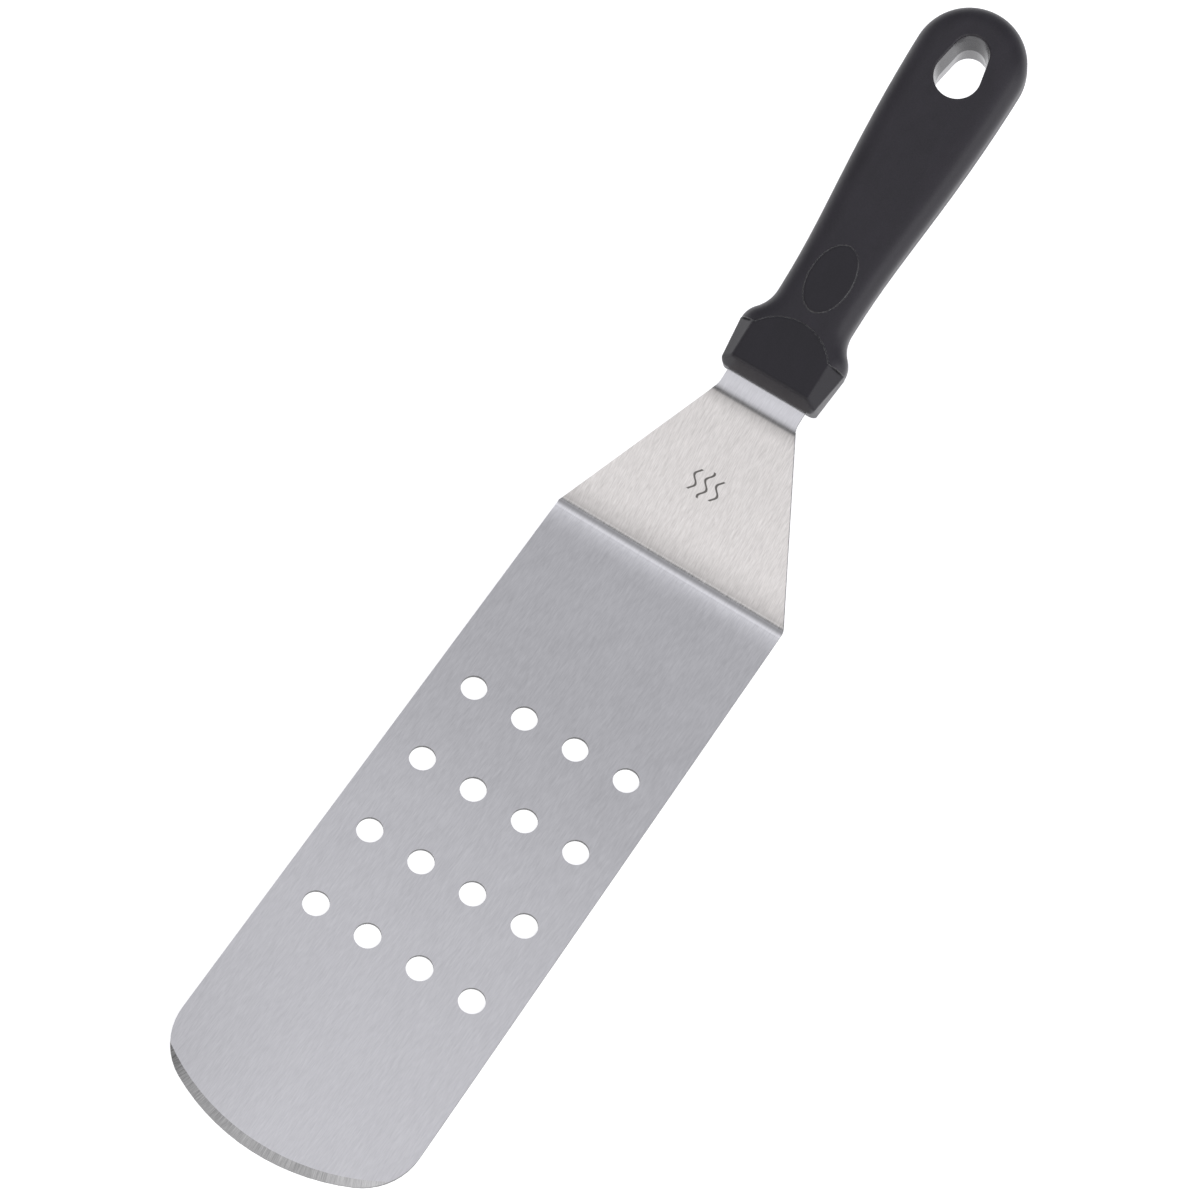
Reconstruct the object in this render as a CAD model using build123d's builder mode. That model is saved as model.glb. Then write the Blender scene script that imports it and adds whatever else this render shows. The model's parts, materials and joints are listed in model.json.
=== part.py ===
"""Grill spatula: a perforated stainless blade with a moulded plastic handle.

Frame: millimetres, +Z up, +Y from the blade towards the handle, +X across.
The origin is the middle of the blade's flat underside, which rests on Z = 0.
"""

from build123d import *

import os
from math import cos, radians, sin, sqrt, tan

# ---- Blade ------------------------------------------------------------------
sheet = 1.0
blade_width = 75.0
blade_length = 210.4
tip_radius = 61.5
tip_corner_radius = 18.0

hole_diameter = 7.5
hole_count = 4
hole_field_width = 50.0
hole_pitch_x = hole_field_width / (hole_count - 1)
hole_pitch_y = 26.25
first_row_from_bend = 64.3

# The ground bevel is a shallow cone about an upright axis behind the tip.
bevel_width = 2.65
bevel_depth = 0.65
bevel_back_radius = 64.0
bevel_half_sweep = 38.0

# ---- Neck: the sheet rises at one bend and levels off at the next -----------
neck_angle = 43.0
neck_length = 52.0
neck_bend_radius = 5.0
neck_side_start = 0.4
neck_side_slope = 0.47
shoulder_radius = 4.0

# ---- Tang: the tail of the sheet, buried in the handle ----------------------
tang_bend_radius = 6.0
tang_width = 25.4
tang_flare_radius = 6.0
tang_shoulder_at = 11.0
tang_step_radius = 1.0
tang_tail_width = 15.6
tang_length = 90.0
tang_corner_radius = 3.0
anchor_hole_diameter = 8.0
anchor_hole_places = (32.0, 56.0, 80.0)

# ---- Grip, measured along the handle from the second bend -------------------
handle_angle = 21.0
handle_length = 132.1
end_radius = 16.6
waist_at = 34.0
waist_half_width = 12.2
belly_at = 74.0
belly_half_width = 14.72
front_half_thickness = 8.2
rear_half_thickness = 9.0
grip_edge_radius = 6.9

# ---- Bolster: the chamfered block at the front of the handle ----------------
bolster_front = 6.2
bolster_front_half_width = 15.15
bolster_rear = 20.2
bolster_rear_half_width = 16.95
bolster_half_thickness = 8.5
bolster_flat_half_width = 12.4
bolster_chamfer_slope = 1.3
bolster_parting = 0.5
bolster_slope_run = 2.3
bolster_slope_drop = 6.4
bolster_corner_radius = 1.8
bolster_edge_radius = 0.6
collar_apex = 26.5
collar_inset = 0.4
collar_edge_radius = 0.2
flare_peak_at = 22.8
flare_peak_radius = 7.0
flare_waist_at = 28.2
flare_waist_radius = 10.0

# ---- Core inside the grip ---------------------------------------------------
skin = 3.2
spine_front = 16.0
spine_waist_half_width = 9.0
spine_half_thickness = 5.6
spine_edge_radius = 1.5
pad_centre = 41.2
pad_half_width = 6.4
pad_half_length = 10.7
pad_step = 0.15
pad_edge_radius = 0.12

# ---- Hanging slot: egg-shaped, narrowest at mid-thickness -------------------
slot_near_radius = 5.95
slot_near_centre = 108.9
slot_far_radius = 4.6
slot_far_centre = 116.0
slot_draft = 5.6
slot_tilt = 4.8
slot_rim_radius = 0.5
slot_wall = 3.2

# ---- Overlaps, depths and the slack used when picking edges by place ----------
blank_depth = 4.0
bend_overlap = 1.5
tang_overlap = 0.8
form_front = 16.0
form_depth = 12.0
reach = 60.0
touch = 0.01

# ---- Derived places ---------------------------------------------------------
bend_y = blade_length / 2
tip_y = -blade_length / 2
mid_sheet = sheet / 2
neck_dir = Vector(0, cos(radians(neck_angle)), sin(radians(neck_angle)))
neck_up = Vector(0, -sin(radians(neck_angle)), cos(radians(neck_angle)))
handle_dir = Vector(0, cos(radians(handle_angle)), sin(radians(handle_angle)))
handle_up = Vector(0, -sin(radians(handle_angle)), cos(radians(handle_angle)))
neck_start = Vector(0, bend_y, mid_sheet)
handle_start = neck_start + neck_dir * neck_length
tang_end = handle_start + handle_dir * tang_length

# On these two planes local X runs across and local Y runs along the part.
neck_plane = Plane(origin=neck_start, x_dir=(1, 0, 0), z_dir=neck_up)
handle_plane = Plane(origin=handle_start, x_dir=(1, 0, 0), z_dir=handle_up)
# End on, local X runs across the handle and local Y is its thickness.
handle_end_plane = Plane(origin=handle_start, x_dir=(1, 0, 0), z_dir=-handle_dir)
# From the side, local X runs along the handle and local Y is its thickness.
handle_side_plane = Plane(origin=handle_start, x_dir=handle_dir, z_dir=(1, 0, 0))
thickness_axis = Axis(handle_start, handle_up)

tip_corner_y = tip_y + tip_radius - sqrt(tip_radius**2 - (blade_width / 2) ** 2)
neck_end_half_width = blade_width / 2 - neck_side_slope * (neck_length - neck_side_start)
tang_corner = (neck_end_half_width - tang_width / 2) / neck_side_slope
hole_field_y = bend_y - first_row_from_bend - hole_pitch_y * (hole_count - 1) / 2
end_centre = handle_length - end_radius
slot_middle = (slot_near_centre + slot_far_centre) / 2
collar_half_width = bolster_flat_half_width - collar_inset

bevel_axis_y = tip_y + bevel_width + bevel_back_radius
bevel_axis = Axis((0, bevel_axis_y, 0), (0, 0, 1))
bevel_start_dir = Vector(0, -1, 0).rotate(Axis.Z, -bevel_half_sweep)
bevel_plane = Plane(
    origin=(0, bevel_axis_y, 0), x_dir=bevel_start_dir, z_dir=bevel_start_dir.cross(Vector(0, 0, 1))
)


def both_sides(points):
    """Close a half outline, given from front to back, about the centre line."""
    return points + [(-x, y) for x, y in reversed(points)]


def above_and_below(points):
    """Close an upper outline with the same points below the handle's mid-plane."""
    return points + [(s, -height) for s, height in reversed(points)]


def bolster_half_width(s):
    """Half width of the bolster's outline at a distance s along the handle."""
    share = (s - bolster_front) / (bolster_rear - bolster_front)
    return bolster_front_half_width + share * (bolster_rear_half_width - bolster_front_half_width)


def grip_wedge(step):
    """The grip's slightly tapered thickness seen from the side, raised by a step."""
    growth = (rear_half_thickness - front_half_thickness) / (end_centre - bolster_rear)
    far = handle_length + end_radius
    return above_and_below(
        [
            (0, front_half_thickness - growth * bolster_rear + step),
            (far, front_half_thickness + growth * (far - bolster_rear) + step),
        ]
    )


def bolster_section():
    """The bolster's section: a broad flat above and below, with a chamfer down each side."""
    flat = bolster_flat_half_width
    top = bolster_half_thickness
    far = flat + (top - bolster_parting) / bolster_chamfer_slope
    return above_and_below([(-far, bolster_parting), (-flat, top), (flat, top), (far, bolster_parting)])


def slot_circles(height, wall):
    """The slot's two end circles at a height off the mid-plane, with a wall around."""
    widen = abs(height) * tan(radians(slot_draft)) + wall
    shift = height * tan(radians(slot_tilt))
    with Locations((0, slot_near_centre + shift)):
        Circle(slot_near_radius + widen)
    with Locations((0, slot_far_centre + shift)):
        Circle(slot_far_radius + widen)


def place_of(shape):
    """A shape's middle as (across, along, up) on the handle's mid-plane."""
    return handle_plane.to_local_coords(shape.center())


def edges_of_broad_faces(all_faces):
    """The edges round the highest and lowest faces of a handle piece."""
    by_thickness = all_faces.sort_by(thickness_axis)
    return by_thickness[0].edges() + by_thickness[-1].edges()


def is_slot_rim(edge):
    """Whether an edge is where the slot breaks through a broad face of the grip."""
    place = place_of(edge)
    around_slot = slot_near_radius + slot_wall
    near_slot = abs(place.X) < around_slot and abs(place.Y - slot_middle) < around_slot
    return near_slot and abs(place.Z) > front_half_thickness


# ---- Blank: the sheet's outline, laid on each of its three panels in turn ----
with BuildPart() as blank:
    with BuildSketch() as blade_panel:
        with BuildLine():
            Polyline(
                (-blade_width / 2, tip_corner_y),
                (-blade_width / 2, bend_y),
                (blade_width / 2, bend_y),
                (blade_width / 2, tip_corner_y),
            )
            ThreePointArc(
                (-blade_width / 2, tip_corner_y), (0, tip_y), (blade_width / 2, tip_corner_y)
            )
        make_face()
        fillet(blade_panel.vertices().group_by(Axis.Y)[0], radius=tip_corner_radius)
    extrude(amount=blank_depth, both=True)

    with BuildSketch(neck_plane):
        with BuildLine():
            neck_side = [
                (blade_width / 2, -bend_overlap),
                (blade_width / 2, neck_side_start),
                (neck_end_half_width, neck_length),
            ]
            corner_radii = (0, shoulder_radius, 0)
            FilletPolyline(
                both_sides(neck_side), radius=corner_radii + corner_radii[::-1], close=True
            )
        make_face()
    extrude(amount=blank_depth, both=True)

    with BuildSketch(handle_plane):
        with BuildLine():
            tang_side = [
                (neck_end_half_width + tang_overlap * neck_side_slope, -tang_overlap),
                (tang_width / 2, tang_corner),
                (tang_width / 2, tang_shoulder_at),
                (tang_tail_width / 2, tang_shoulder_at),
                (tang_tail_width / 2, tang_length),
            ]
            corner_radii = (
                0,
                tang_flare_radius,
                tang_step_radius,
                tang_corner_radius,
                tang_corner_radius,
            )
            FilletPolyline(
                both_sides(tang_side), radius=corner_radii + corner_radii[::-1], close=True
            )
        make_face()
        with Locations([(0, place) for place in anchor_hole_places]):
            Circle(anchor_hole_diameter / 2, mode=Mode.SUBTRACT)
    extrude(amount=blank_depth, both=True)

# ---- Blade, neck and tang: one pressed sheet ---------------------------------
with BuildPart() as blade:
    with BuildSketch(Plane.YZ):
        with BuildLine():
            FilletPolyline(
                (tip_y, mid_sheet),
                (bend_y, mid_sheet),
                (handle_start.Y, handle_start.Z),
                (tang_end.Y, tang_end.Z),
                radius=(neck_bend_radius, tang_bend_radius),
            )
        trace(line_width=sheet)
    extrude(amount=blade_width, both=True)
    add(blank.part, mode=Mode.INTERSECT)

    with Locations((0, hole_field_y, sheet)):
        with GridLocations(hole_pitch_x, hole_pitch_y, hole_count, hole_count):
            Hole(hole_diameter / 2, depth=sheet)

    with BuildSketch(bevel_plane):
        Polygon(
            (bevel_back_radius, sheet),
            (bevel_back_radius + 2 * bevel_width, sheet),
            (bevel_back_radius + 2 * bevel_width, sheet - 2 * bevel_depth),
        )
    revolve(axis=bevel_axis, revolution_arc=2 * bevel_half_sweep, mode=Mode.SUBTRACT)

# ---- Outer form of the grip, before the core is taken out of it --------------
with BuildPart() as grip_form:
    with BuildSketch(handle_plane):
        with BuildLine():
            flank = FilletPolyline(
                (0, form_front),
                (bolster_half_width(form_front), form_front),
                (bolster_half_width(flare_peak_at), flare_peak_at),
                (waist_half_width, flare_waist_at),
                (waist_half_width, waist_at),
                radius=(0, flare_peak_radius, flare_waist_radius),
            )
            belly = Spline(
                flank @ 1,
                (belly_half_width, belly_at),
                (end_radius, end_centre),
                tangents=[flank % 1, (0, 1)],
            )
            RadiusArc(belly @ 1, (0, handle_length), -end_radius)
            mirror(about=Plane.YZ)
        make_face()
    extrude(amount=form_depth, both=True)

    with BuildSketch(handle_side_plane):
        Polygon(*grip_wedge(0))
    extrude(amount=reach, both=True, mode=Mode.INTERSECT)

    broad_edges = edges_of_broad_faces(faces())
    long_edges = broad_edges.filter_by(lambda edge: place_of(edge).Y > form_front + touch)
    fillet(long_edges, grip_edge_radius)

    # The hanging slot is drafted both ways from its narrow waist.
    for side in (-1, 1):
        for height in (0, side * form_depth):
            with BuildSketch(handle_plane.offset(height)):
                slot_circles(height, wall=0)
                make_hull()
        loft(mode=Mode.SUBTRACT)
    fillet(edges().filter_by(is_slot_rim), slot_rim_radius)

# ---- Spine: the core's body, about one skin inside the grip, round the tang ---
with BuildPart() as spine:
    with BuildSketch(handle_plane):
        with BuildLine():
            flank = Line((0, spine_front), (spine_waist_half_width, spine_front))
            flank = Line(flank @ 1, (spine_waist_half_width, waist_at))
            belly = ThreePointArc(
                flank @ 1, (belly_half_width - skin, belly_at), (end_radius - skin, end_centre)
            )
            RadiusArc(belly @ 1, (0, handle_length - skin), -(end_radius - skin))
            mirror(about=Plane.YZ)
        make_face()
    extrude(amount=spine_half_thickness, both=True)
    # The skin keeps a wall of its own round the hanging slot.
    with BuildSketch(handle_plane):
        slot_circles(0, slot_wall)
        make_hull()
    extrude(amount=spine_half_thickness, both=True, mode=Mode.SUBTRACT)
    broad_edges = edges_of_broad_faces(faces())
    long_edges = broad_edges.filter_by(lambda edge: place_of(edge).Y > spine_front + touch)
    fillet(long_edges, spine_edge_radius)

# ---- Collar: the arched rear of the bolster's broad flats ---------------------
with BuildPart() as collar:
    with BuildSketch(handle_plane):
        with BuildLine():
            arch = ThreePointArc(
                (-collar_half_width, bolster_rear),
                (0, collar_apex),
                (collar_half_width, bolster_rear),
            )
            Polyline(
                arch @ 1,
                (spine_waist_half_width, spine_front),
                (-spine_waist_half_width, spine_front),
                arch @ 0,
            )
        make_face()
    extrude(amount=bolster_half_thickness, both=True)
    arched_edges = edges_of_broad_faces(faces()).filter_by(GeomType.CIRCLE)
    fillet(arched_edges, collar_edge_radius)

# ---- Pads: two ovals of core that come up through the grip -------------------
with BuildPart() as pads:
    with BuildSketch(handle_plane):
        with Locations((0, pad_centre)):
            Ellipse(pad_half_width, pad_half_length)
    extrude(amount=form_depth, both=True)
    with BuildSketch(handle_side_plane):
        Polygon(*grip_wedge(pad_step))
    extrude(amount=reach, both=True, mode=Mode.INTERSECT)
    fillet(edges_of_broad_faces(faces()), pad_edge_radius)

# ---- Core: bolster block, collar, spine round the tang, pads to the surface ---
with BuildPart() as handle_core:
    with BuildSketch(handle_plane):
        with BuildLine():
            bolster_side = [
                (bolster_front_half_width, bolster_front),
                (bolster_rear_half_width, bolster_rear),
            ]
            FilletPolyline(
                both_sides(bolster_side),
                radius=(bolster_corner_radius, 0, 0, bolster_corner_radius),
                close=True,
            )
        make_face()
    extrude(amount=bolster_half_thickness, both=True)
    with BuildSketch(handle_end_plane):
        Polygon(*bolster_section())
    extrude(amount=-bolster_rear, mode=Mode.INTERSECT)

    with BuildSketch(handle_side_plane):
        Polygon(
            *above_and_below(
                [
                    (bolster_front, bolster_half_thickness - bolster_slope_drop),
                    (bolster_front + bolster_slope_run, bolster_half_thickness),
                    (bolster_rear, bolster_half_thickness),
                ]
            )
        )
    extrude(amount=reach, both=True, mode=Mode.INTERSECT)

    outer_edges = edges().filter_by(lambda edge: place_of(edge).Y < bolster_rear - touch)
    fillet(outer_edges, bolster_edge_radius)

    add(collar.part)
    add(spine.part)
    add(pads.part)
    add(blade.part, mode=Mode.SUBTRACT)

# ---- Grip: the skin moulded over the core ------------------------------------
with BuildPart() as handle_grip:
    add(grip_form.part)
    split(bisect_by=Plane(origin=handle_start + handle_dir * bolster_rear, z_dir=handle_dir))
    add(handle_core.part, mode=Mode.SUBTRACT)
    add(blade.part, mode=Mode.SUBTRACT)

os.makedirs("parts", exist_ok=True)
for name, piece in (("blade", blade), ("handle_core", handle_core), ("handle_grip", handle_grip)):
    piece.part.label = name
    export_step(piece.part, f"parts/{name}.step")
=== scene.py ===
import json
import math

import bpy
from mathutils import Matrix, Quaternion, Vector


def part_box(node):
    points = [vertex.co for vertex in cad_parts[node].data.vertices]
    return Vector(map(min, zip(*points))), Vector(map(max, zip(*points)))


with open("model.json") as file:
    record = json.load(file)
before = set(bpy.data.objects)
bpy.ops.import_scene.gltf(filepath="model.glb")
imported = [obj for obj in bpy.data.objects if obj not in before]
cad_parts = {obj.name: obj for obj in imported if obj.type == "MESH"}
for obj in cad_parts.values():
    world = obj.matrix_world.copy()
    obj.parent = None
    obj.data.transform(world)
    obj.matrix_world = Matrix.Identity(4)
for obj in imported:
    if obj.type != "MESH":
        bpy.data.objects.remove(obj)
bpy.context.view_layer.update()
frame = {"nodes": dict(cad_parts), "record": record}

nodes = frame["nodes"]

MM = 0.001

# ---- Places on the object, from its boxes, its record and the CAD's own sizes ---
NECK_RISE = math.radians(43)          # slope of the neck panel
HANDLE_RISE = math.radians(21)        # slope of the handle
SHEET_TOP = 1 * MM
TIP_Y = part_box("blade")[0][1]
BEND_Y = -TIP_Y                       # the origin is halfway between tip and bend
NECK_START = Vector((0, BEND_Y, SHEET_TOP / 2))
NECK_DIR = Vector((0, math.cos(NECK_RISE), math.sin(NECK_RISE)))
NECK_UP = Vector((0, -math.sin(NECK_RISE), math.cos(NECK_RISE)))
HANDLE_UP = Vector((0, -math.sin(HANDLE_RISE), math.cos(HANDLE_RISE)))
BEVEL_AXIS_Y = TIP_Y + 66.65 * MM     # the ground bevel is a cone about an upright axis
SLOT_PLACE = Vector(frame["record"]["mounts"][1]["pos_m"])
ACROSS = (1.0, 0.0, 0.0)


# ---- Small helpers for building node trees -------------------------------------
class Nodes:
    """A thin wrapper that makes shader nodes and the links between them."""

    def __init__(self, tree):
        self.tree = tree
        tree.nodes.clear()

    def put(self, socket, value):
        """Set a socket to a plain value, or link it from another socket."""
        if isinstance(value, bpy.types.NodeSocket):
            self.tree.links.new(value, socket)
        else:
            socket.default_value = value

    def add(self, kind, **inputs):
        """Make a node; inputs are named with underscores for spaces."""
        node = self.tree.nodes.new("ShaderNode" + kind)
        for name, value in inputs.items():
            self.put(node.inputs[name.replace("_", " ")], value)
        return node

    def math(self, operation, *values):
        node = self.tree.nodes.new("ShaderNodeMath")
        node.operation = operation
        for socket, value in zip(node.inputs, values):
            self.put(socket, value)
        return node.outputs[0]

    def sum(self, *values):
        total = values[0]
        for value in values[1:]:
            total = self.math("ADD", total, value)
        return total

    def product(self, *values):
        total = values[0]
        for value in values[1:]:
            total = self.math("MULTIPLY", total, value)
        return total

    def vector(self, operation, *values):
        node = self.tree.nodes.new("ShaderNodeVectorMath")
        node.operation = operation
        for socket, value in zip(node.inputs, values):
            self.put(socket, value)
        result = "Value" if operation in ("DOT_PRODUCT", "LENGTH") else "Vector"
        return node.outputs[result]

    def scaled(self, vector, factor):
        node = self.tree.nodes.new("ShaderNodeVectorMath")
        node.operation = "SCALE"
        self.put(node.inputs[0], vector)
        self.put(node.inputs["Scale"], factor)
        return node.outputs["Vector"]

    def xyz(self, vector):
        node = self.add("SeparateXYZ", Vector=vector)
        return node.outputs[0], node.outputs[1], node.outputs[2]

    def combine(self, x, y, z):
        node = self.tree.nodes.new("ShaderNodeCombineXYZ")
        for socket, value in zip(node.inputs, (x, y, z)):
            self.put(socket, value)
        return node.outputs[0]

    def noise(self, vector, scale, detail=2.0, roughness=0.5):
        node = self.add("TexNoise", Vector=vector, Scale=scale, Detail=detail, Roughness=roughness)
        return node.outputs["Fac"]

    def span(self, value, low, high, to_low=0.0, to_high=1.0, smooth=False):
        """Map low..high to to_low..to_high, held at both ends."""
        node = self.tree.nodes.new("ShaderNodeMapRange")
        if smooth:
            node.interpolation_type = "SMOOTHSTEP"
        for socket, number in zip(node.inputs, (value, low, high, to_low, to_high)):
            self.put(socket, number)
        return node.outputs[0]

    def blend(self, factor, first, second):
        """Mix two colours by a factor."""
        node = self.tree.nodes.new("ShaderNodeMix")
        node.data_type = "RGBA"
        self.put(node.inputs[0], factor)
        self.put(node.inputs[6], first)
        self.put(node.inputs[7], second)
        return node.outputs[2]

    def ramp(self, factor, stops):
        node = self.add("ValToRGB", Fac=factor)
        elements = node.color_ramp.elements
        while len(elements) < len(stops):
            elements.new(0.5)
        for element, (place, colour) in zip(elements, stops):
            element.position = place
            element.color = colour
        return node.outputs["Color"]

    def rounded_normal(self, radius, samples):
        """The surface normal as if every edge were rounded to a radius."""
        node = self.add("Bevel", Radius=radius)
        node.samples = samples
        return node.outputs[0]

    def bump(self, height, strength, distance, normal=None):
        node = self.add("Bump", Height=height, Strength=strength, Distance=distance)
        if normal is not None:
            self.put(node.inputs["Normal"], normal)
        return node.outputs["Normal"]


def new_material(name):
    material = bpy.data.materials.new(name)
    material.use_nodes = True
    return material, Nodes(material.node_tree)


def finish_material(tree, shader):
    output = tree.add("OutputMaterial")
    tree.put(output.inputs["Surface"], shader)


def grey(value, tint=(1.0, 1.0, 1.0)):
    return (value * tint[0], value * tint[1], value * tint[2], 1.0)


def paint(node, material):
    mesh = node.data
    mesh.materials.clear()
    mesh.materials.append(material)


# ---- Brushed stainless sheet ---------------------------------------------------
# Noises stretched along one direction, in cells per metre across, along and up.
FINE_HAIRLINES = (3600.0, 420.0, 420.0)
COARSE_HAIRLINES = (1500.0, 190.0, 190.0)
FINE_SHARE = 0.6
CLOUD_SCALE = 110.0
NOISE_RANGE = (0.3, 0.7)              # where most of a noise's values lie
HAIRLINE_TONES = (0.725, 0.875)
NECK_CONTRAST = 0.085                 # added both ways on the neck's slope
CLOUD_CONTRAST = 0.02                 # of tone and of roughness, both ways
STEEL_SCALE = 0.82
STEEL_GREEN = 0.995
HAIRLINE_ROUGHNESS = (0.30, 0.37)
HAIRLINE_RELIEF = 0.10
HAIRLINE_DEPTH = 0.02 * MM
NECK_LEVELS = (0.93, 0.8)             # upward part of the normal, blade to neck

# Upright faces are sheared: duller, rougher and without a grain.
HOLE_WALL_LEVEL = 0.25
EDGE_SIDEWAYS = (0.5, 0.9)
EDGE_DULLNESS = 0.55
EDGE_ROUGHNESS = 0.2
BRUSHED_ANISOTROPY = 0.8
GROUND_ANISOTROPY = 0.05

# The ground bevel is found by its tilt near the tip; its scratches run across it.
BEVEL_REACH = 26 * MM
BEVEL_LEVELS = (0.8, 0.985)
SCRATCHES_PER_RADIAN = 380
SCRATCH_CELLS_OUTWARDS = 180
SCRATCH_RANGE = (0.38, 0.62)
SCRATCH_CONTRAST = 0.11
BEVEL_DULLNESS = 0.3
# Painted shade darkens the bevel's left end and a painted highlight lightens its right end.
BEVEL_LEFT_END = (-0.38, -0.52)       # turns in radians about the bevel's axis
BEVEL_LEFT_SHADE = 0.17
BEVEL_RIGHT_END = (0.25, 0.5)
BEVEL_RIGHT_HIGHLIGHT = 0.2
BEVEL_YELLOW = 0.04

# Painted shade: the flat's colour is a little darker at the left of its tip and halfway along.
TIP_LEFT_ALONG = (-30 * MM, -100 * MM)
TIP_LEFT_ACROSS = (0.0, -36 * MM)
TIP_LEFT_SHADE = 0.1
HALFWAY_FROM = (0.0, 30 * MM)
HALFWAY_TO = (58 * MM, 80 * MM)
HALFWAY_SHADE = 0.035

# Painted highlight and shade on the sheet's colour at each distance from the first bend,
# in millimetres along the neck's slope. A painted light band leads into the first bend; a
# painted dark line, a thin painted light one and a painted dark band that fades follow it.
# The second bend has one painted dark band.
BEND_SHADE = [
    (-7.3, 1.00),
    (-5.3, 1.05),
    (-3.8, 1.16),
    (-2.3, 1.30),
    (-1.6, 1.45),
    (-1.2, 1.43),
    (-0.9, 1.24),
    (-0.5, 1.03),
    (-0.15, 0.68),
    (0.2, 0.51),
    (0.5, 0.46),
    (0.75, 0.53),
    (1.0, 0.79),
    (1.25, 1.17),
    (1.5, 1.27),
    (1.75, 0.95),
    (2.0, 0.65),
    (2.5, 0.695),
    (3.0, 0.745),
    (4.0, 0.815),
    (5.0, 0.84),
    (8.0, 0.95),
    (12.0, 1.00),
    (47.0, 1.00),
    (48.0, 0.95),
    (49.0, 0.88),
    (50.0, 0.79),
    (51.0, 0.64),
    (52.3, 0.66),
    (53.0, 0.80),
    (53.4, 0.92),
    (55.0, 1.00),
]
SHADE_FROM = -8.0
SHADE_TO = 60.0
SHADE_PEAK = 1.5


def bevel_mask(n, y, normal_z):
    """Where the sheet is ground at the tip: near it, tilted and facing upwards."""
    near_tip = n.math("LESS_THAN", y, TIP_Y + BEVEL_REACH)
    tilted = n.math("LESS_THAN", normal_z, BEVEL_LEVELS[1])
    facing_up = n.math("GREATER_THAN", normal_z, BEVEL_LEVELS[0])
    return n.product(near_tip, tilted, facing_up)


def bevel_scratches(n, x, y):
    """The turn about the bevel's axis, and scratches that run out from that axis."""
    from_axis = n.math("SUBTRACT", y, BEVEL_AXIS_Y)
    turn = n.math("ARCTAN2", x, n.product(from_axis, -1.0))
    reach = n.vector("LENGTH", n.combine(x, from_axis, 0.0))
    cells_round = n.product(turn, SCRATCHES_PER_RADIAN)
    cells_out = n.product(reach, SCRATCH_CELLS_OUTWARDS)
    return turn, n.noise(n.combine(cells_round, cells_out, 0.0), 1.0, 4.0, 0.75)


def bevel_dullness_and_shade(n, turn, scratches):
    """How much darker the bevel is: duller where ground, most at its left end from painted shade,
    least at its right end from a painted highlight.
    """
    left = n.span(turn, *BEVEL_LEFT_END, BEVEL_DULLNESS, BEVEL_DULLNESS + BEVEL_LEFT_SHADE)
    right = n.span(turn, *BEVEL_RIGHT_END, 0.0, BEVEL_RIGHT_HIGHLIGHT)
    uneven = n.span(scratches, *SCRATCH_RANGE, SCRATCH_CONTRAST, -SCRATCH_CONTRAST)
    return n.sum(n.math("SUBTRACT", left, right), uneven)


def flat_painted_shade(n, x, y):
    """The two painted shade areas of the flat, slightly darker."""
    by_tip = n.span(y, *TIP_LEFT_ALONG, smooth=True)
    to_left = n.span(x, *TIP_LEFT_ACROSS, 0.0, TIP_LEFT_SHADE)
    halfway_from = n.span(y, *HALFWAY_FROM, 0.0, HALFWAY_SHADE, smooth=True)
    halfway_to = n.span(y, *HALFWAY_TO, 1.0, 0.0)
    return n.sum(n.product(by_tip, to_left), n.product(halfway_from, halfway_to))


def bend_shading(n, place):
    """The painted light and dark bands along the two bends, as a factor on the sheet's colour."""
    past_bend = n.vector("SUBTRACT", place, tuple(NECK_START))
    up_neck = n.vector("DOT_PRODUCT", past_bend, tuple(NECK_DIR))
    up_neck = n.span(up_neck, SHADE_FROM * MM, SHADE_TO * MM)
    stops = []
    for spot, value in BEND_SHADE:
        stops.append(((spot - SHADE_FROM) / (SHADE_TO - SHADE_FROM), grey(value / SHADE_PEAK)))
    return n.product(n.ramp(up_neck, stops), SHADE_PEAK)


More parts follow.
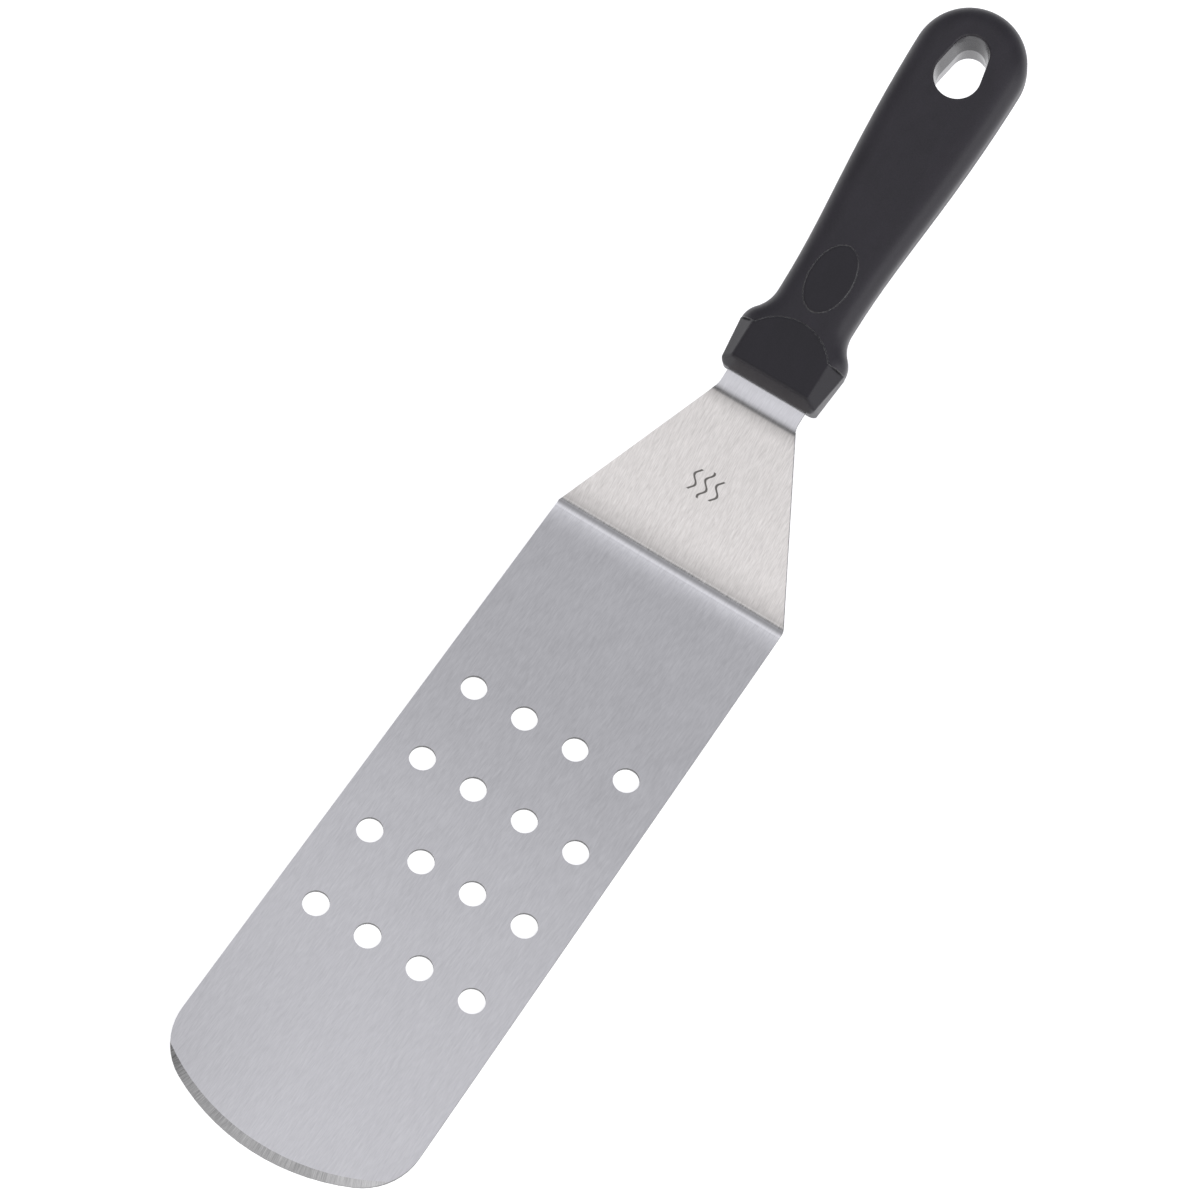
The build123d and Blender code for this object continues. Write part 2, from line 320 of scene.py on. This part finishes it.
def brushed_steel():
    material, n = new_material("brushed_stainless")
    place = n.add("TexCoord").outputs["Object"]
    x, y, _ = n.xyz(place)
    normal_x, _, normal_z = n.xyz(n.add("NewGeometry").outputs["Normal"])
    level = n.math("ABSOLUTE", normal_z)

    hole_wall = n.math("LESS_THAN", level, HOLE_WALL_LEVEL)
    side_edge = n.span(n.math("ABSOLUTE", normal_x), *EDGE_SIDEWAYS)
    on_edge = n.math("MAXIMUM", side_edge, hole_wall)
    on_bevel = bevel_mask(n, y, normal_z)
    on_neck = n.product(n.math("GREATER_THAN", y, BEND_Y), n.span(level, *NECK_LEVELS))
    etched = heat_mark(n, place)

    fine = n.noise(n.vector("MULTIPLY", place, FINE_HAIRLINES), 1.0)
    coarse = n.noise(n.vector("MULTIPLY", place, COARSE_HAIRLINES), 1.0)
    hairlines = n.sum(n.product(fine, FINE_SHARE), n.product(coarse, 1 - FINE_SHARE))
    turn, scratches = bevel_scratches(n, x, y)
    off_bevel = n.math("SUBTRACT", 1.0, on_bevel)
    streak = n.sum(n.product(hairlines, off_bevel), n.product(scratches, on_bevel))
    cloud = n.noise(place, CLOUD_SCALE, 4.0, 0.6)
    clouding = n.span(cloud, *NOISE_RANGE, -CLOUD_CONTRAST, CLOUD_CONTRAST)

    neck_streak = n.span(streak, *NOISE_RANGE, -NECK_CONTRAST, NECK_CONTRAST)
    tone = n.sum(n.span(streak, *NOISE_RANGE, *HAIRLINE_TONES), clouding)
    tone = n.sum(tone, n.product(on_neck, neck_streak))
    # Darkening of the colour: sheared edges and the ground bevel are duller, the bevel's left end
    # and two areas of the flat carry painted shade, and its right end a painted highlight.
    dull_and_shade = n.sum(
        n.product(on_edge, EDGE_DULLNESS),
        n.product(on_bevel, bevel_dullness_and_shade(n, turn, scratches)),
        flat_painted_shade(n, x, y),
    )
    tone = n.math("SUBTRACT", tone, dull_and_shade)
    # The bends' painted highlight and shade multiply the sheet's colour.
    tone = n.product(tone, bend_shading(n, place), STEEL_SCALE)
    blue = n.math("SUBTRACT", 1.0, n.product(on_bevel, BEVEL_YELLOW))
    colour = n.combine(tone, n.product(tone, STEEL_GREEN), n.product(tone, blue))
    colour = n.blend(etched, colour, ETCHED_COLOUR)

    rough = n.sum(n.span(streak, *NOISE_RANGE, *HAIRLINE_ROUGHNESS), clouding)
    rough = n.sum(rough, n.product(n.math("MAXIMUM", on_edge, etched), EDGE_ROUGHNESS))
    lost_grain = n.product(
        n.math("MAXIMUM", on_edge, on_bevel), BRUSHED_ANISOTROPY - GROUND_ANISOTROPY
    )

    shader = n.add(
        "BsdfPrincipled",
        Base_Color=colour,
        Metallic=1.0,
        Roughness=rough,
        Normal=n.bump(streak, HAIRLINE_RELIEF, HAIRLINE_DEPTH),
        Anisotropic=n.math("SUBTRACT", BRUSHED_ANISOTROPY, lost_grain),
        Tangent=n.combine(*ACROSS),
    )
    finish_material(n, shader.outputs[0])
    return material


# ---- A generic etched mark: three short wavy lines on the neck ------------------
MARK_PLACE = NECK_START + Vector((-2 * MM, 0, 0)) + NECK_DIR * 26 * MM
MARK_PERIOD = 5.2 * MM
MARK_SWING = 0.8 * MM
MARK_PITCH = 3.6 * MM
MARK_STROKE = (0.28 * MM, 0.42 * MM)  # half width, and where it has faded out
MARK_HALF_LENGTH = 4.4 * MM
MARK_OUTER_SHORTER = 1.0 * MM
MARK_END_FADE = 0.2 * MM
ETCHED_COLOUR = grey(0.2, (1.0, 0.98, 0.95))


def heat_mark(n, place):
    """The mark, as a mask from 0 to 1."""
    offset = n.vector("SUBTRACT", place, tuple(MARK_PLACE))
    across = n.xyz(offset)[0]
    along = n.vector("DOT_PRODUCT", offset, tuple(NECK_DIR))
    swing = n.product(n.math("SINE", n.product(along, math.tau / MARK_PERIOD)), MARK_SWING)
    mask = 0.0
    for line in (-1, 0, 1):
        from_line = n.math("SUBTRACT", n.sum(across, swing), line * MARK_PITCH)
        stroke = n.span(n.math("ABSOLUTE", from_line), *MARK_STROKE, 1.0, 0.0)
        end = MARK_HALF_LENGTH - abs(line) * MARK_OUTER_SHORTER
        within = n.span(n.math("ABSOLUTE", along), end, end + MARK_END_FADE, 1.0, 0.0)
        mask = n.math("MAXIMUM", mask, n.product(stroke, within))
    on_top = n.math("GREATER_THAN", n.vector("DOT_PRODUCT", offset, tuple(NECK_UP)), 0.0)
    return n.product(mask, on_top)


# ---- Satin black moulded plastic -----------------------------------------------
GRAIN_SCALE = 5200.0
GRAIN_RANGE = (0.35, 0.65)
GRAIN_CONTRAST = 0.25                 # shares of the base tone
GRAIN_DEPTH = 0.026 * MM
GRAIN_RELIEF = 0.5
FLOW_CELLS = (260.0, 60.0, 260.0)
FLOW_TONES = (0.88, 1.14)
FLOW_ROUGHNESS = 0.03
SCUFF_CELLS = (420.0, 2600.0, 420.0)
SCUFF_RANGE = (0.62, 0.75)
SCUFF_ROUGHNESS = 0.05

# Corners are found by how far a rounded normal leans from the true one.
CORNER_RADIUS = 0.45 * MM
CORNER_LEAN = (0.995, 0.9)
RUB_HIGHLIGHT_RANGE = (0.4, 0.62)
RUB_HIGHLIGHT_SHARES = (0.35, 1.0)
# Corner colour: partly rubbed wear, partly a painted highlight along edges and seams.
RUBBED_HIGHLIGHT_COLOUR = grey(0.2)
RUBBED_SMOOTHER = 0.08

# The slot's walls are polished: smoother, shinier and with little grain.
SLOT_REACH = 13 * MM
SLOT_HALF_WIDTH = 8 * MM
SLOT_WALL_LEVEL = 0.5
SLOT_SMOOTHER = 0.2
SLOT_RELIEF_LESS = 0.4
PLASTIC_IOR = 1.385
SLOT_IOR_MORE = 0.13


def slot_walls(n, place, normal):
    """The walls of the hanging slot, as a mask."""
    offset = n.vector("SUBTRACT", place, tuple(SLOT_PLACE))
    near = n.math("LESS_THAN", n.vector("LENGTH", offset), SLOT_REACH)
    level = n.math("ABSOLUTE", n.vector("DOT_PRODUCT", normal, tuple(HANDLE_UP)))
    upright = n.math("LESS_THAN", level, SLOT_WALL_LEVEL)
    inside = n.math("LESS_THAN", n.math("ABSOLUTE", n.xyz(place)[0]), SLOT_HALF_WIDTH)
    return n.product(near, upright, inside)


def moulded_plastic(name, base, tint, roughness, seed, softness):
    """Black plastic; softness is the radius to which its shading rounds the edges."""
    material, n = new_material(name)
    place = n.add("TexCoord").outputs["Object"]
    normal = n.add("NewGeometry").outputs["Normal"]
    in_slot = slot_walls(n, place, normal)

    shifted = n.vector("ADD", place, (seed, seed, seed))
    grain = n.noise(shifted, GRAIN_SCALE, 2.0, 0.6)
    flow = n.noise(n.vector("MULTIPLY", shifted, FLOW_CELLS), 1.0, 3.0)
    scuff = n.noise(n.vector("MULTIPLY", shifted, SCUFF_CELLS), 1.0)

    # Corners are painted paler, partly as rubbed wear and partly as a painted highlight along
    # edges and seams, and are a little smoother.
    lean = n.vector("DOT_PRODUCT", n.rounded_normal(CORNER_RADIUS, 4), normal)
    corner = n.span(lean, *CORNER_LEAN)
    rubbed_highlight = n.product(corner, n.span(scuff, *RUB_HIGHLIGHT_RANGE, *RUB_HIGHLIGHT_SHARES))

    graining = n.span(grain, *GRAIN_RANGE, -base * GRAIN_CONTRAST, base * GRAIN_CONTRAST)
    tone = n.span(flow, *NOISE_RANGE, base * FLOW_TONES[0], base * FLOW_TONES[1])
    colour = n.scaled(tint, n.sum(tone, graining))
    colour = n.blend(rubbed_highlight, colour, RUBBED_HIGHLIGHT_COLOUR)

    rough = n.sum(
        n.span(flow, *NOISE_RANGE, roughness - FLOW_ROUGHNESS, roughness + FLOW_ROUGHNESS),
        n.span(scuff, *SCUFF_RANGE, 0.0, SCUFF_ROUGHNESS),
        n.product(corner, -RUBBED_SMOOTHER),
        n.product(in_slot, -SLOT_SMOOTHER),
    )
    strength = n.sum(GRAIN_RELIEF, n.product(in_slot, -SLOT_RELIEF_LESS))
    relief = n.bump(grain, strength, GRAIN_DEPTH, n.rounded_normal(softness, 6))
    ior = n.sum(PLASTIC_IOR, n.product(in_slot, SLOT_IOR_MORE))
    shader = n.add("BsdfPrincipled", Base_Color=colour, Roughness=rough, Normal=relief, IOR=ior)
    finish_material(n, shader.outputs[0])
    return material


paint(nodes["blade"], brushed_steel())
core_plastic = moulded_plastic(
    "core_satin_black",
    base=0.0120,
    tint=(1.0, 0.88, 1.22),
    roughness=0.36,
    seed=0.31,
    softness=1.3 * MM,
)
paint(nodes["handle_core"], core_plastic)
grip_plastic = moulded_plastic(
    "grip_satin_black",
    base=0.0200,
    tint=(1.0, 0.90, 1.16),
    roughness=0.40,
    seed=0.77,
    softness=0.5 * MM,
)
paint(nodes["handle_grip"], grip_plastic)


# ---- Floor and studio ----------------------------------------------------------
FLOOR_HALF_WIDTH = 6.0
FLOOR_Z = -0.15 * MM
FLOOR_TONE = 0.8
FLOOR_GLOW = 0.62


def pale_floor():
    half = FLOOR_HALF_WIDTH
    mesh = bpy.data.meshes.new("floor")
    outline = ((-half, -half), (half, -half), (half, half), (-half, half))
    corners = [(x, y, FLOOR_Z) for x, y in outline]
    mesh.from_pydata(corners, [], [(0, 1, 2, 3)])
    floor = bpy.data.objects.new("floor", mesh)
    bpy.context.scene.collection.objects.link(floor)
    material, n = new_material("pale_floor")
    lit = n.add("BsdfDiffuse", Color=grey(FLOOR_TONE))
    glow = n.add("Emission", Color=grey(1.0), Strength=FLOOR_GLOW)
    face = n.tree.nodes.new("ShaderNodeAddShader")
    n.put(face.inputs[0], lit.outputs[0])
    n.put(face.inputs[1], glow.outputs[0])
    # Seen from underneath, the floor is clear, so that the underside can be looked at.
    clear = n.add("BsdfTransparent")
    one_sided = n.tree.nodes.new("ShaderNodeMixShader")
    n.put(one_sided.inputs[0], n.add("NewGeometry").outputs["Backfacing"])
    n.put(one_sided.inputs[1], face.outputs[0])
    n.put(one_sided.inputs[2], clear.outputs[0])
    finish_material(n, one_sided.outputs[0])
    mesh.materials.append(material)


# Light by direction along Y, from the camera's side (-1) to the far side (1).
# The dip is the dark shape of the camera seen in the bends of the sheet.
SKY = [
    (-1.00, grey(1.33, (1.03, 0.99, 0.975))),
    (-0.84, grey(1.44, (1.03, 0.99, 0.975))),
    (-0.76, grey(1.04, (1.02, 0.99, 0.98))),
    (-0.66, grey(0.12)),
    (-0.56, grey(0.24)),
    (-0.42, grey(1.02, (0.98, 0.98, 1.03))),
    (-0.18, grey(1.05, (0.98, 0.98, 1.04))),
    (0.20, grey(0.93, (0.98, 0.98, 1.04))),
    (0.345, grey(1.01, (0.98, 0.98, 1.04))),
    (0.40, grey(0.575, (0.98, 0.985, 1.05))),
    (0.47, grey(0.56, (0.98, 0.985, 1.05))),
    (1.00, grey(0.51, (0.98, 0.985, 1.05))),
]
BACKGROUND = 1.0
LEFT_FADE_DIRECTIONS = (-0.9, -0.25)
LEFT_FADE = 0.6


def studio_world():
    world = bpy.data.worlds.new("studio")
    bpy.context.scene.world = world
    world.use_nodes = True
    n = Nodes(world.node_tree)
    direction = n.add("TexCoord").outputs["Generated"]
    x, y, _ = n.xyz(direction)
    stops = [((place + 1) / 2, colour) for place, colour in SKY]
    sky = n.ramp(n.span(y, -1.0, 1.0), stops)
    # The light falls off towards the left of the picture.
    sky = n.scaled(sky, n.span(x, *LEFT_FADE_DIRECTIONS, LEFT_FADE, 1.0, smooth=True))
    seen = n.add("LightPath").outputs["Is Camera Ray"]
    colour = n.blend(seen, sky, grey(BACKGROUND))
    back = n.add("Background", Color=colour, Strength=1.0)
    output = n.add("OutputWorld")
    n.put(output.inputs["Surface"], back.outputs[0])


def soft_box(name, place, aim, width, height, power):
    data = bpy.data.lights.new(name, "AREA")
    data.shape = "RECTANGLE"
    data.size = width
    data.size_y = height
    data.energy = power
    lamp = bpy.data.objects.new(name, data)
    lamp.location = place
    lamp.rotation_euler = (Vector(aim) - Vector(place)).to_track_quat("-Z", "Y").to_euler()
    bpy.context.scene.collection.objects.link(lamp)


# ---- Camera --------------------------------------------------------------------
CAMERA_PLACE = Vector((0.17733, -0.40522, 0.97687))
CAMERA_LOOK = Vector((-0.169712, 0.441966, -0.880831))
CAMERA_ROLL = math.radians(12.354)
CAMERA_LENS = 117.778
SENSOR = 36.0


def studio_camera():
    data = bpy.data.cameras.new("camera")
    data.lens = CAMERA_LENS
    data.sensor_width = SENSOR
    camera = bpy.data.objects.new("camera", data)
    camera.location = CAMERA_PLACE
    camera.rotation_mode = "QUATERNION"
    level = CAMERA_LOOK.to_track_quat("-Z", "Y")
    camera.rotation_quaternion = level @ Quaternion((0, 0, 1), CAMERA_ROLL)
    bpy.context.scene.collection.objects.link(camera)
    bpy.context.scene.camera = camera


pale_floor()
studio_world()
soft_box(
    "side_box",
    place=(1.1, 0.25, 0.40),
    aim=(0.0, 0.25, 0.08),
    width=0.9,
    height=0.6,
    power=2.3,
)
studio_camera()
bpy.context.scene.view_settings.view_transform = "Standard"
